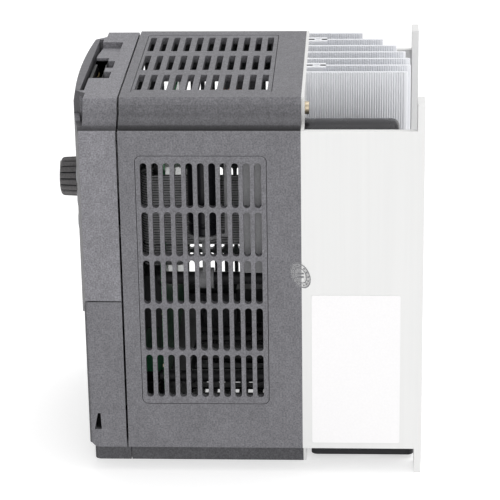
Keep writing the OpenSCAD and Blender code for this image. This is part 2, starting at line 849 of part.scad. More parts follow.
module heatsink_base() {
    clear = 0.3;
    color("lightgray") difference() {
        union() {
            along_y(base_lip, base_rear) polygon(mirrored([
                [crown_x, top_z], [crown_x, side_top], [side_x, side_top],
                [side_x, -side_top], [crown_x, -side_top], [crown_x, -top_z]]));
            along_y(base_front, base_lip) polygon(mirrored([
                [crown_x - wall - clear, top_z - wall - clear], [crown_x - wall - clear, side_top - 5],
                [side_x - wall - clear, side_top - 5], [side_x - wall - clear, -side_top + wall + clear],
                [crown_x - wall - clear, -side_top + wall + clear],
                [crown_x - wall - clear, -top_z + wall + clear]]));
        }
        for (i = [0:cap_count - 1])
            rod_y(cap_x, cap_top_z - i * cap_pitch, link_cap_r + 0.5, base_front - 1, base_rear + 1);
        for (x = [-boss_x, boss_x], z = [-boss_z, boss_z]) rod_y(x, z, 1.7, base_front - 1, base_rear + 1);
        mirror_x() for (z = tab_zs) rod_y(tab_screw_x, z, 1.3, base_front + 1, base_rear + 1);
    }
}

// Fins with an arched rear outline; two of them have a screw port at the root.
module heatsink_fins() {
    port_fins = [1, 5];
    port_w = 7.6;
    port_d = 9.2;
    color("gainsboro") for (i = [0:6]) {
        x = fin_xs[i];
        rear = -5.2 - fin_arc_r + sqrt(fin_arc_r * fin_arc_r - x * x);
        has_port = i == port_fins[0] || i == port_fins[1];
        along_z(fin_low, top_z) difference() {
            union() {
                translate([x - fin_t / 2, base_rear]) square([fin_t, rear - base_rear]);
                if (has_port) translate([x - port_w / 2, base_rear]) square([port_w, port_d]);
            }
            if (has_port) translate([x, base_rear + port_d / 2]) circle(1.9);
        }
    }
}

module side_plate() {
    rear_x = side_x - ear_w;
    color("whitesmoke") difference() {
        union() {
            block([side_x - plate_t, side_x], [base_rear, -ear_t + tiny], [-side_top, side_top]);
            block([rear_x, side_x], [-ear_t, 0], [-top_z, top_z]);
            for (z = tab_zs) block([tab_x[0], tab_x[1] + tiny], [base_rear, base_rear + 2],
                [z - tab_h / 2, z + tab_h / 2]);
        }
        for (z = [-wall_hole_z, wall_hole_z]) rod_y(wall_hole_x, z, wall_hole_r, -ear_t - 1, 1);
        for (z = tab_zs) rod_y(tab_screw_x, z, 1.7, base_rear - 1, base_rear + 3);
    }
}

module right_side_plate() {
    side_plate();
}

module left_side_plate() {
    mirror([1, 0, 0]) side_plate();
}

module fan_tray() {
    inner_x = side_x - plate_t - 0.2;
    color("silver") difference() {
        block([-inner_x, inner_x], [base_rear + 0.3, -ear_t - 0.2], [fan_high, fan_high + tray_t]);
        for (x = [-fan_x, fan_x]) rod_z(x, fan_y, fan_bore_r, fan_high - 1, fan_high + tray_t + 1);
        // Notches round the side plates' screw tabs
        mirror_x() block([tab_x[0] - 0.6, side_x], [base_rear, base_rear + 6],
            [fan_high - 1, fan_high + tray_t + 1]);
    }
}

// Two square fan frames, each with a motor cup on struts, a pin and a wire finger guard.
module fan_frames() {
    wire_r = 0.7;
    color("black") for (x = [-fan_x, fan_x]) translate([x, fan_y, 0]) {
        along_z(fan_low, fan_high) difference() {
            rounded_rect([-fan_w / 2, -fan_w / 2], [fan_w / 2, fan_w / 2], 3);
            circle(fan_bore_r);
            for (a = [-20, 20], b = [-20, 20]) translate([a, b]) circle(1.5);
        }
        along_z(fan_low, fan_low + 2.4) {
            circle(10);
            for (a = [30, 150, 270]) rotate([0, 0, a]) translate([9, -1.25]) square([fan_bore_r - 8.5, 2.5]);
        }
        rod_z(0, 0, fan_pin_r, fan_low + 2.4, fan_low + 10);
        for (r = [14, 19.5]) translate([0, 0, fan_low - wire_r + 0.05])
            rotate_extrude($fn = 64) translate([r, 0]) circle(wire_r, $fn = 16);
    }
}

module fan_rotor(x) {
    blades = 7;
    hub_r = 10.5;
    tip_r = fan_bore_r - 1;
    low = fan_low + 3;
    high = fan_high - 1;
    color("black") translate([x, fan_y, 0]) difference() {
        union() {
            rod_z(0, 0, hub_r, low, high);
            for (i = [0:blades - 1]) rotate([0, 0, i * 360 / blades]) intersection() {
                translate([hub_r - 1, 0, (low + high) / 2]) rotate([42, 0, 0])
                    translate([0, -7, -0.7]) cube([tip_r - hub_r + 1, 14, 1.4]);
                rod_z(0, 0, tip_r, low, high);
            }
        }
        rod_z(0, 0, fan_pin_r + 0.05, low - 1, fan_low + 10.6);
    }
}

module left_fan_rotor() fan_rotor(-fan_x);
module right_fan_rotor() fan_rotor(fan_x);

// A pan-head screw along +Y with a cross recess; y is the plane under its head.
module pan_screw(x, z, y, head_r, length) {
    difference() {
        rod_y(x, z, head_r, y, y + 2);
        translate([x, y + 1.6, z]) cube([head_r * 1.3, 1.4, 0.7], center = true);
        translate([x, y + 1.6, z]) cube([0.7, 1.4, head_r * 1.3], center = true);
    }
    rod_y(x, z, head_r * 0.42, y - length, y);
}

// All cross-head screws: side plates to the base, base to the housing, front cover to the housing.
module screws() {
    color("silver") {
        for (z = tab_zs, s = [-1, 1]) pan_screw(s * tab_screw_x, z, base_rear + 2, 2.9, 6);
        for (x = [-boss_x, boss_x], z = [-boss_z, boss_z]) pan_screw(x, z, base_rear, 3, 14);
        for (s = [-1, 1]) translate([s * cover_screw_x, -146, cover_screw_z]) rotate([0, 0, 180])
            pan_screw(0, 0, 0, 3, 3.9);
    }
}

// ---- Blank label and seal ----------------------------------------------------------------------

label_t = 0.2;
label_y = [-52.4, -10.5];
label_z = [-77.2, -0.6];
seal_y = -57.5;
seal_z = 9.5;
seal_axes = [4.3, 7];
seal_tilt = 25;

module rating_label() {
    color("white") block([side_x, side_x + label_t], label_y, label_z);
}

module inspection_seal() {
    color("lightgray") along_x(side_x, side_x + label_t) translate([seal_y, seal_z]) rotate(seal_tilt)
        polygon([for (i = [0:47]) [seal_axes[0] * cos(i * 7.5), seal_axes[1] * sin(i * 7.5)]]);
}

housing();
right_vent_panel();
left_vent_panel();
top_vent_panel();
front_cover();
terminal_cover();
entry_tray();
cable_grommets();
service_port();
screws();
keypad_case();
keypad_back();
keypad_board();
display_window();
digit_display();
status_lamps();
potentiometer();
potentiometer_shaft();
speed_knob();
run_button();
stop_button();
up_button();
down_button();
enter_button();
menu_button();
shift_button();
jog_button();
control_board();
control_chips();
control_terminals();
board_posts();
power_board();
power_module();
rectifier_bridge();
precharge_relay();
transformer_core();
transformer_winding();
ribbon_cable();
ribbon_sockets();
film_capacitor();
filter_capacitor();
capacitor_cradle();
choke_core();
choke_winding();
choke_shelf();
main_terminals();
terminal_screws();
busbars();
terminal_shelf();
link_capacitors();
heatsink_base();
heatsink_fins();
right_side_plate();
left_side_plate();
fan_tray();
fan_frames();
left_fan_rotor();
right_fan_rotor();
rating_label();
inspection_seal();
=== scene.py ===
"""Looks of a wall-mounted variable frequency drive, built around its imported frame.

All sizes are in metres; MM turns millimetres into metres. +X is the drive's right side, +Y points
back to the wall and +Z is up. Places come from the frame's own boxes.
"""

import json
import math
import random

import bmesh
import bpy
from mathutils import Matrix, Vector


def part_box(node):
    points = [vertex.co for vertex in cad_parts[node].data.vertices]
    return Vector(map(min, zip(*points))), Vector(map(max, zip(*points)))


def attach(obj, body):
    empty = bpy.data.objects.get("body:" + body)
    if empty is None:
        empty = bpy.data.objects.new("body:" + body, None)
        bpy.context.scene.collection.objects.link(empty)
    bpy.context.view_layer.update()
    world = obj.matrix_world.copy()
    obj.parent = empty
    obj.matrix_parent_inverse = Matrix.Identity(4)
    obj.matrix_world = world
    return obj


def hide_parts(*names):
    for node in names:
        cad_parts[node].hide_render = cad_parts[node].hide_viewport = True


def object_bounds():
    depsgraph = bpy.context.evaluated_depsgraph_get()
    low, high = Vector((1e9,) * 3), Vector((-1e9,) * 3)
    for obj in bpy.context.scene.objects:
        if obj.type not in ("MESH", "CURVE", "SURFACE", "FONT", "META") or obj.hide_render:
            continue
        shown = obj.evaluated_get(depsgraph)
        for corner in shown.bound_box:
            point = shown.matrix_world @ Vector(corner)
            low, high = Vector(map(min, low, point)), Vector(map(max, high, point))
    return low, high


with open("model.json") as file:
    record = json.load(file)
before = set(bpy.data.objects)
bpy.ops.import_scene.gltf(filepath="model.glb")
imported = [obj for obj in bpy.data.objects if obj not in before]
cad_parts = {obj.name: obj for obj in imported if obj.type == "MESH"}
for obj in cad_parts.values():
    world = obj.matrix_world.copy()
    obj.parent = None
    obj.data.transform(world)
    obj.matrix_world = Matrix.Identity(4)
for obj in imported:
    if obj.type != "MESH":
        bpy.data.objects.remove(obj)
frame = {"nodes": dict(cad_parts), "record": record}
cad_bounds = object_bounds()

MM = 0.001
scene = bpy.context.scene
NODES = frame["nodes"]
BODY_OF = {n: b for b, ns in frame["record"]["behaviour"]["bodies"].items() for n in ns}
SLOT_OF = {s["node"]: s["material_slot"] for s in frame["record"]["subparts"]}


# ---- Camera, floor and light ---------------------------------------------------------------------

CAMERA = {"azimuth": 92.99, "elevation": 20.89, "distance": 1.115, "roll": -0.91, "lens": 160.1}
CAMERA_TARGET = Vector((0, -84.7, -4.6)) * MM
LAMP_TARGET = Vector((0, -80, 0)) * MM


def make_camera():
    """A long lens on the drive's right side, slightly behind it and above it."""
    azimuth = math.radians(CAMERA["azimuth"])
    elevation = math.radians(CAMERA["elevation"])
    outward = Vector((
        math.sin(azimuth) * math.cos(elevation),
        -math.cos(azimuth) * math.cos(elevation),
        math.sin(elevation)))
    data = bpy.data.cameras.new("camera")
    data.lens = CAMERA["lens"]
    camera = bpy.data.objects.new("camera", data)
    scene.collection.objects.link(camera)
    turn = (-outward).to_track_quat("-Z", "Y").to_matrix().to_4x4()
    roll = Matrix.Rotation(math.radians(CAMERA["roll"]), 4, "Z")
    camera.matrix_world = (
        Matrix.Translation(CAMERA_TARGET + outward * CAMERA["distance"]) @ turn @ roll)
    scene.camera = camera


def area_light(name, place, size, power):
    """A soft square lamp that points at the drive's middle."""
    data = bpy.data.lights.new(name, "AREA")
    data.size = size
    data.energy = power
    lamp = bpy.data.objects.new(name, data)
    scene.collection.objects.link(lamp)
    lamp.location = place
    lamp.rotation_euler = (LAMP_TARGET - Vector(place)).to_track_quat("-Z", "Y").to_euler()


def make_studio():
    """A pale floor under a pale sky that is dimmer in front, with soft lamps above and beside."""
    low = cad_bounds[0][2]
    size = 6
    mesh = bpy.data.meshes.new("floor")
    corners = rectangle((-size, -size), (size, size))
    mesh.from_pydata([(x, y, low) for x, y in corners], [], [(0, 1, 2, 3)])
    floor = bpy.data.objects.new("floor", mesh)
    scene.collection.objects.link(floor)
    paint = Paint("floor_paper", (0.62, 0.62, 0.62), roughness=0.9, Emission_Color=(1, 1, 1, 1),
        Emission_Strength=0.56)
    paint.vary(scale=3, amount=0.01)
    mesh.materials.append(paint.material)

    world = bpy.data.worlds.new("studio")
    scene.world = world
    world.use_nodes = True
    nodes, links = world.node_tree.nodes, world.node_tree.links
    sky = nodes["Background"]
    direction = nodes.new("ShaderNodeTexCoord")
    split = nodes.new("ShaderNodeSeparateXYZ")
    fade = nodes.new("ShaderNodeMapRange")
    set_inputs(fade, From_Min=-0.9, From_Max=0.1, To_Min=0.35, To_Max=1.0)
    set_inputs(sky, Color=(1, 1, 1, 1))
    links.new(direction.outputs["Generated"], split.inputs["Vector"])
    links.new(split.outputs["Y"], fade.inputs["Value"])
    links.new(fade.outputs["Result"], sky.inputs["Strength"])
    area_light("overhead", (-0.3, 0.3, 1.6), 1.6, 11.5)
    area_light("right", (1.7, 0.2, 0.5), 1.2, 5)
    scene.view_settings.view_transform = "Standard"


# ---- Materials -----------------------------------------------------------------------------------

# Materials by slot; each Paint adds its own
FINISH = {}


def set_inputs(node, **values):
    """Sets a shader node's own inputs; an underscore stands for the space in an input's name."""
    for name, value in values.items():
        node.inputs[name.replace("_", " ")].default_value = value


class Paint:
    """A node material around one Principled shader, with helpers that add detail to it."""

    def __init__(self, name, colour, roughness=0.5, metallic=0.0, **sockets):
        self.material = bpy.data.materials.new(name)
        self.material.use_nodes = True
        self.tree = self.material.node_tree
        self.shader = self.tree.nodes["Principled BSDF"]
        self.colour = colour
        self.roughness = roughness
        set_inputs(self.shader, Base_Color=(*colour, 1), Roughness=roughness, Metallic=metallic, **sockets)
        FINISH[name] = self.material

    def add(self, kind, **values):
        made = self.tree.nodes.new(kind)
        for key, value in values.items():
            setattr(made, key, value)
        return made

    def link(self, output, target):
        self.tree.links.new(output, target)

    def noise(self, scale, stretch=(1, 1, 1), detail=2.0, roughness=0.5):
        """Noise in the drive's own coordinates; scale is in features per metre."""
        place = self.add("ShaderNodeTexCoord")
        mapping = self.add("ShaderNodeMapping")
        set_inputs(mapping, Scale=stretch)
        texture = self.add("ShaderNodeTexNoise")
        set_inputs(texture, Scale=scale, Detail=detail, Roughness=roughness)
        self.link(place.outputs["Object"], mapping.inputs["Vector"])
        self.link(mapping.outputs["Vector"], texture.inputs["Vector"])
        return texture.outputs["Fac"]

    def remap(self, value, low, high, to_low, to_high):
        node = self.add("ShaderNodeMapRange")
        set_inputs(node, From_Min=low, From_Max=high, To_Min=to_low, To_Max=to_high)
        self.link(value, node.inputs["Value"])
        return node.outputs["Result"]

    def mix(self, factor, first, second):
        """A colour between two, each an output or a plain colour."""
        node = self.add("ShaderNodeMix", data_type="RGBA")
        self.link(factor, node.inputs["Factor"])
        for socket, value in ((6, first), (7, second)):
            if isinstance(value, tuple):
                node.inputs[socket].default_value = (*value[:3], 1)
            else:
                self.link(value, node.inputs[socket])
        return node.outputs[2]

    def current_colour(self):
        links = self.shader.inputs["Base Color"].links
        return links[0].from_socket if links else self.colour

    def tint(self, factor, colour):
        """Mixes a colour over what is there, by a factor."""
        self.link(self.mix(factor, self.current_colour(), colour), self.shader.inputs["Base Color"])

    def vary(self, scale, amount, stretch=(1, 1, 1), detail=2.0):
        """Lighter and darker patches around the base colour."""
        light = tuple(min(1, c * (1 + amount)) for c in self.colour)
        dark = tuple(c * (1 - amount) for c in self.colour)
        fac = self.remap(self.noise(scale, stretch, detail), 0.3, 0.7, 0, 1)
        if self.shader.inputs["Base Color"].links:
            node = self.add("ShaderNodeMix", data_type="RGBA", blend_type="MULTIPLY")
            set_inputs(node, Factor=1)
            self.link(self.current_colour(), node.inputs[6])
            self.link(self.remap(fac, 0, 1, 1 - amount, 1 + amount), node.inputs[7])
            self.link(node.outputs[2], self.shader.inputs["Base Color"])
        else:
            self.link(self.mix(fac, dark, light), self.shader.inputs["Base Color"])

    def vary_roughness(self, scale, amount, stretch=(1, 1, 1)):
        fac = self.noise(scale, stretch)
        out = self.remap(fac, 0.3, 0.7, self.roughness - amount, self.roughness + amount)
        self.link(out, self.shader.inputs["Roughness"])

    def bump(self, height, distance):
        """Raises the surface by a height texture; distance is in metres."""
        node = self.add("ShaderNodeBump")
        set_inputs(node, Strength=1.0, Distance=distance)
        links = self.shader.inputs["Normal"].links
        if links:
            self.link(links[0].from_socket, node.inputs["Normal"])
        self.link(height, node.inputs["Height"])
        self.link(node.outputs["Normal"], self.shader.inputs["Normal"])

    def coordinate(self, kind, axis):
        """One axis of the place in metres (Object) or of the surface's direction (Normal)."""
        place = self.add("ShaderNodeTexCoord")
        split = self.add("ShaderNodeSeparateXYZ")
        self.link(place.outputs[kind], split.inputs["Vector"])
        return split.outputs[axis]

    def ramp(self, axis, low, high, absolute=False):
        """Rises from 0 to 1 along an axis of the drive, between two places in metres."""
        value = self.coordinate("Object", axis)
        if absolute:
            size = self.add("ShaderNodeMath", operation="ABSOLUTE")
            self.link(value, size.inputs[0])
            value = size.outputs["Value"]
        return self.remap(value, low, high, 0, 1)

    def facing_front(self, low, high):
        """Rises from 0 to 1 as the surface turns to the front, by its normal's forward part."""
        return self.remap(self.coordinate("Normal", "Y"), -low, -high, 0, 1)

    def both(self, first, second):
        node = self.add("ShaderNodeMath", operation="MULTIPLY")
        self.link(first, node.inputs[0])
        self.link(second, node.inputs[1])
        return node.outputs["Value"]

    def painted_shade(self, amount, *ramps):
        """Paints shade where all the ramps are up, darkening the colour there."""
        where = ramps[0]
        for ramp in ramps[1:]:
            where = self.both(where, ramp)
        # Painted shade colour: a deep shade of the base colour
        self.tint(self.remap(where, 0, 1, 0, amount), tuple(c * 0.15 for c in self.colour))

    def edge_highlight(self, radius, colour, amount):
        """Paints a highlight on edges, where a rounded normal leaves the true one."""
        rounded = self.add("ShaderNodeBevel", samples=4)
        set_inputs(rounded, Radius=radius)
        geometry = self.add("ShaderNodeNewGeometry")
        dot = self.add("ShaderNodeVectorMath", operation="DOT_PRODUCT")
        self.link(rounded.outputs["Normal"], dot.inputs[0])
        self.link(geometry.outputs["Normal"], dot.inputs[1])
        self.tint(self.remap(dot.outputs["Value"], 1.0, 0.8, 0, amount), colour)


# Painted shade down the groove under the crown: how dark, and the heights in metres where each comes in
SHOULDER_SHADE = [
    (0.20, 0.0925, 0.0900), (0.20, 0.0864, 0.0858), (0.75, 0.0836, 0.0798), (0.55, 0.0820, 0.0812)]


def moulded(name, colour, roughness=0.5, grain=1.0, speckle=0.13, shoulder=0, chin=0, front=0):
    """Spark-textured moulded plastic: fine grain, faint flow patches and a painted highlight on the edges.

    The shoulder, chin and front amounts paint shade into the groove under the crown, the recessed
    chin and the faces that look forward.
    """
    paint = Paint(name, colour, roughness, Specular_IOR_Level=0.25)
    paint.vary(1300, speckle, detail=3)
    paint.vary(420, speckle * 0.3)
    paint.vary(60, speckle * 0.15)
    paint.vary_roughness(300, 0.05)
    paint.bump(paint.noise(1500, detail=4, roughness=0.7), 0.00006 * grain)
    # Painted highlight on the edges, in a paler tone of the colour
    pale = tuple(min(1, c * 1.7 + 0.02) for c in colour)
    paint.edge_highlight(0.0005, pale, 0.35)
    # Painted shade in the groove under the crown
    if shoulder:
        across = paint.both(
            paint.ramp("X", 0.0564, 0.0568, absolute=True), paint.ramp("X", 0.0691, 0.0687, absolute=True))
        inside = paint.both(across, paint.ramp("Z", 0.0770, 0.0776))
        for share, above, below in SHOULDER_SHADE:
            paint.painted_shade(shoulder * share, inside, paint.ramp("Z", above, below))
    # Painted shade on the recessed chin
    if chin:
        paint.painted_shade(chin, paint.ramp("Z", -0.0798, -0.0812))
    # Painted shade on the faces that look forward
    if front:
        paint.painted_shade(front, paint.facing_front(0.45, 0.65))


def brushed(name, colour, roughness, stretch, scratch=0.05, metallic=1.0, lines=0.00002):
    """Sheet or extruded metal with fine lines along one direction."""
    paint = Paint(name, colour, roughness, metallic)
    paint.vary(420, scratch, stretch)
    paint.vary(12, 0.01)
    paint.vary_roughness(500, 0.05, stretch)
    paint.bump(paint.noise(900, stretch, detail=3), lines)


def glossy(name, colour, roughness, shine):
    """Smooth plastic or shrink sleeve, with slight ripples."""
    paint = Paint(name, colour, roughness, Specular_IOR_Level=shine)
    paint.vary(250, 0.03)
    paint.vary_roughness(120, 0.05)
    paint.bump(paint.noise(160), 0.00001)


def circuit_board(name, colour):
    """Solder mask over copper tracks, with tinned pads."""
    paint = Paint(name, colour, 0.35, Coat_Weight=0.4)
    place = paint.add("ShaderNodeTexCoord")
    tracks = paint.add("ShaderNodeTexBrick")
    set_inputs(tracks, Scale=90, Mortar_Size=0.06, Color1=(*[c * 0.8 for c in colour], 1),
        Color2=(*colour, 1), Mortar=(*[min(1, c * 2.6 + 0.01) for c in colour], 1))
    turn = paint.add("ShaderNodeMapping")
    set_inputs(turn, Rotation=(math.radians(90), 0, 0))
    paint.link(place.outputs["Object"], turn.inputs["Vector"])
    paint.link(turn.outputs["Vector"], tracks.inputs["Vector"])
    paint.link(tracks.outputs["Color"], paint.shader.inputs["Base Color"])
    pads = paint.add("ShaderNodeTexVoronoi", distance="CHEBYCHEV")
    set_inputs(pads, Scale=260)
    paint.link(turn.outputs["Vector"], pads.inputs["Vector"])
    paint.tint(paint.remap(pads.outputs["Distance"], 0.2, 0.12, 0, 0.8), (0.55, 0.55, 0.5))
    paint.bump(tracks.outputs["Fac"], 0.00003)


def paper(name, colour):
    paint = Paint(name, colour, 0.6)
    paint.vary(900, 0.015, detail=4)
    paint.vary_roughness(200, 0.05)
    paint.bump(paint.noise(1200, detail=5), 0.000015)


def rubber(name, colour):
    paint = Paint(name, colour, 0.8)
    paint.vary(500, 0.15)
    paint.bump(paint.noise(900, detail=4), 0.00003)


def enamelled_copper(name):
    paint = Paint(name, (0.50, 0.20, 0.07), 0.28, metallic=0.85, Coat_Weight=0.6)
    paint.vary(300, 0.2)
    paint.bump(paint.noise(700), 0.00002)


def glowing(name, colour, strength):
    paint = Paint(name, colour, 0.4, Emission_Color=(*colour, 1), Emission_Strength=strength)
    paint.vary(400, 0.1)


def clear_film(name, colour, alpha):
    """A thin plastic film that shows what lies under it."""
    paint = Paint(name, colour, 0.3, Alpha=alpha)
    paint.vary(500, 0.05)
    paint.bump(paint.noise(700), 0.000006)


def tinted_glass(name, colour):
    paint = Paint(name, colour, 0.08, Transmission_Weight=0.85, IOR=1.49)
    paint.vary(80, 0.05)
    paint.bump(paint.noise(60), 0.000008)


ALONG_Z = (1, 1, 0.02)
ALONG_Y = (1, 0.02, 1)

# Moulded finishes carry a painted edge highlight; the shoulder, chin and front amounts are painted shade
moulded("housing_plastic", (0.151, 0.149, 0.161), speckle=0.32, shoulder=1, chin=0.5, front=0.5)
moulded("cover_plastic", (0.196, 0.193, 0.209), speckle=0.34, shoulder=0.8, front=0.65)
moulded("keypad_plastic", (0.120, 0.118, 0.128), 0.45, 0.7, front=0.3)
moulded("knob_plastic", (0.110, 0.106, 0.107), 0.42, 0.5, speckle=0.2)
moulded("button_plastic", (0.28, 0.29, 0.31), 0.5, 0.5)
moulded("run_green", (0.03, 0.22, 0.06), 0.45, 0.5)
moulded("stop_red", (0.42, 0.02, 0.015), 0.45, 0.5)
moulded("black_plastic", (0.018, 0.018, 0.020), 0.45, 0.6)
moulded("grey_plastic", (0.33, 0.33, 0.34), 0.5, 0.6)
moulded("white_plastic", (0.72, 0.72, 0.70), 0.45, 0.5)
moulded("green_plastic", (0.012, 0.10, 0.04), 0.45, 0.5)
tinted_glass("window", (0.25, 0.01, 0.01))
glowing("lens_green", (0.05, 0.5, 0.08), 0.4)
circuit_board("pcb", (0.012, 0.110, 0.035))
brushed("aluminium", (0.71, 0.71, 0.705), 0.5, ALONG_Z, 0.012, 0.2, 0.000006)
brushed("aluminium_fin", (0.79, 0.80, 0.83), 0.45, ALONG_Z, 0.03, 0.4)
brushed("steel", (0.50, 0.43, 0.32), 0.4, (1, 1, 1), 0.04)
brushed("brass", (0.55, 0.42, 0.20), 0.35, ALONG_Y)
enamelled_copper("copper")
moulded("ferrite", (0.045, 0.045, 0.050), 0.6, 1.0)
glossy("cap_sleeve", (0.012, 0.012, 0.015), 0.3, 0.22)
rubber("rubber", (0.02, 0.02, 0.02))
paper("paper", (0.83, 0.82, 0.825))
clear_film("foil", (0.80, 0.80, 0.80), 0.22)
paper("seal_ink", (0.16, 0.16, 0.17))
glowing("lit_segment", (1.0, 0.05, 0.02), 2.5)
glossy("dark_segment", (0.10, 0.015, 0.015), 0.4, 0.5)


# ---- Pieces made from the frame's own meshes -----------------------------------------------------

def place(piece, body, slot, replaces):
    """Links a piece and lets it ride on its body, in place of the CAD nodes that it replaces."""
    scene.collection.objects.link(piece)
    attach(piece, body)
    if replaces:
        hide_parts(*replaces)


def round_edges(piece, width, angle=35, segments=2):
    """A small bevel on every sharp edge, with normals weighted to the flat faces."""
    edges = piece.modifiers.new("edges", "BEVEL")
    edges.width = width * MM
    edges.segments = segments
    edges.limit_method = "ANGLE"
    edges.angle_limit = math.radians(angle)
    edges.miter_outer = "MITER_ARC"
    normals = piece.modifiers.new("normals", "WEIGHTED_NORMAL")
    normals.keep_sharp = True


def finished(node, width, angle=35, segments=2, slot=None):
    """A piece from a CAD node's own shape, with flat faces merged and edges rounded."""
    slot = slot or SLOT_OF[node]
    mesh = NODES[node].data.copy()
    mesh.materials.clear()
    mesh.materials.append(FINISH[slot])
    made = bmesh.new()
    made.from_mesh(mesh)
    bmesh.ops.remove_doubles(made, verts=made.verts, dist=0.002 * MM)
    bmesh.ops.dissolve_limit(made, angle_limit=math.radians(0.3), verts=made.verts, edges=made.edges)
    for face in made.faces:
        face.smooth = True
    made.to_mesh(mesh)
    made.free()
    piece = bpy.data.objects.new(node + "_finished", mesh)
    round_edges(piece, width, angle, segments)
    place(piece, BODY_OF[node], slot, [node])


def keep(node):
    """A CAD node that stays as it is, in its slot's finish."""
    mesh = NODES[node].data
    mesh.materials.clear()
    mesh.materials.append(FINISH[SLOT_OF[node]])


# ---- Shapes built point by point, in millimetres -------------------------------------------------

def low_high(node):
    """The two corners of a node's box, in millimetres."""
    low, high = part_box(node)
    return low / MM, high / MM


def middle_of(low, high, axes):
    """The middle of a box along some of its axes, such as "xy"."""
    return tuple((getattr(low, axis) + getattr(high, axis)) / 2 for axis in axes)


def circle(radius, count, turn=0.0):
    return [(radius * math.cos(turn + 2 * math.pi * i / count),
        radius * math.sin(turn + 2 * math.pi * i / count)) for i in range(count)]


def rectangle(low, high):
    """A rectangle's corners, anticlockwise."""
    return [(low[0], low[1]), (high[0], low[1]), (high[0], high[1]), (low[0], high[1])]


def arc_band(inner, outer, start, end, steps):
    """A thin band between two radii and two angles in degrees."""
    angles = [math.radians(start + (end - start) * i / steps) for i in range(steps + 1)]
    return [(inner * math.cos(a), inner * math.sin(a)) for a in angles] + [
        (outer * math.cos(a), outer * math.sin(a)) for a in reversed(angles)]


def rounded_rectangle(low, high, radius):
    """A rectangle with rounded corners, anticlockwise."""
    steps = 6
    outline = []
    corners = [
        (high[0] - radius, low[1] + radius, -90), (high[0] - radius, high[1] - radius, 0),
        (low[0] + radius, high[1] - radius, 90), (low[0] + radius, low[1] + radius, 180)]
    for x, y, start in corners:
        for i in range(steps + 1):
            angle = math.radians(start + 90 * i / steps)
            outline.append((x + radius * math.cos(angle), y + radius * math.sin(angle)))
    return outline


class Shape:
    """A mesh gathered from simple solids; each solid takes the material index that is current."""

    def __init__(self):
        self.mesh = bmesh.new()
        self.index = 0

    def face(self, verts, smooth=False):
        made = self.mesh.faces.new(verts)
        made.material_index = self.index
        made.smooth = smooth

    def loop(self, points):
        return [self.mesh.verts.new(p) for p in points]

    def bridge(self, first, second, smooth=True):
        """Joins two closed loops of the same length."""
        count = len(first)
        for i in range(count):
            j = (i + 1) % count
            self.face([first[i], first[j], second[j], second[i]], smooth)

    def prism(self, outline, low, high, axis="z", centre=(0, 0), bend=lambda u: 0):
        """Extrudes an outline about a centre from low to high along an axis; bend(u) shifts it there."""
        first, second = [
            self.loop([along(axis, centre, u, v, end + bend(u)) for u, v in outline]) for end in (low, high)]
        self.bridge(first, second, smooth=False)
        self.face(list(reversed(first)))
        self.face(second)

    def box(self, low, high):
        self.prism(rectangle(low, high), low[2], high[2])

    def lathe(self, profile, centre, axis="z", count=48):
        """Turns (radius, height) points about an axis through a centre. Ends at radius 0 close."""
        rings = []
        for radius, height in profile:
            if radius < 1e-6:
                rings.append([self.mesh.verts.new(along(axis, centre, 0, 0, height))])
            else:
                rings.append(self.loop(
                    [along(axis, centre, u, v, height) for u, v in circle(radius, count)]))
        for first, second in zip(rings, rings[1:]):
            if len(first) == 1:
                for i in range(count):
                    self.face([first[0], second[(i + 1) % count], second[i]], True)
            elif len(second) == 1:
                for i in range(count):
                    self.face([first[i], first[(i + 1) % count], second[0]], True)
            else:
                self.bridge(first, second)

    def tube(self, path, radius, count, closed=False):
        """A round wire along a path of points."""
        points = [Vector(p) for p in path]
        total = len(points)
        rings = []
        side = None
        for i, point in enumerate(points):
            before = points[i - 1] if closed or i else points[i]
            after = points[(i + 1) % total] if closed or i < total - 1 else points[i]
            forward = (after - before).normalized()
            if side is None:
                side = forward.orthogonal().normalized()
            side = (side - forward * side.dot(forward)).normalized()
            up = forward.cross(side)
            rings.append(self.loop([point + side * u + up * v for u, v in circle(radius, count)]))
        for first, second in zip(rings, rings[1:]):
            self.bridge(first, second)
        if closed:
            self.bridge(rings[-1], rings[0])
        else:
            self.face(list(reversed(rings[0])))
            self.face(rings[-1])

    def done(self, name, body, slot, replaces=(), also=(), edge=0, angle=35):
        """Makes the piece; also lists slots for the material indices after 0."""
        bmesh.ops.recalc_face_normals(self.mesh, faces=self.mesh.faces)
        bmesh.ops.scale(self.mesh, vec=(MM, MM, MM), verts=self.mesh.verts)
        mesh = bpy.data.meshes.new(name)
        self.mesh.to_mesh(mesh)
        self.mesh.free()
        for one in (slot, *also):
            mesh.materials.append(FINISH[one])
        piece = bpy.data.objects.new(name, mesh)
        if edge:
            for polygon in mesh.polygons:
                polygon.use_smooth = True
            round_edges(piece, edge)
        else:
            mesh.set_sharp_from_angle(angle=math.radians(angle))
        place(piece, body, slot, replaces)


def along(axis, centre, u, v, w):
    """A point beside an axis through a centre: w is how far along it."""
    if axis == "z":
        return (centre[0] + u, centre[1] + v, w)
    if axis == "y":
        return (centre[0] + u, w, centre[1] + v)
    return (w, centre[0] + u, centre[1] + v)


# ---- Moulded body --------------------------------------------------------------------------------

def moulded_body():
    """The plastic shells; the two lowest in front have the housing's finish."""
    widths = {
        "housing": 0.35, "front_cover": 0.35, "terminal_cover": 0.35, "entry_tray": 0.3,
        "right_vent_panel": 0.3, "left_vent_panel": 0.3, "top_vent_panel": 0.25,
        "keypad_case": 0.4, "keypad_back": 0.3,
    }
    for node, width in widths.items():
        finished(node, width, slot="housing_plastic" if node in ("terminal_cover", "entry_tray") else None)


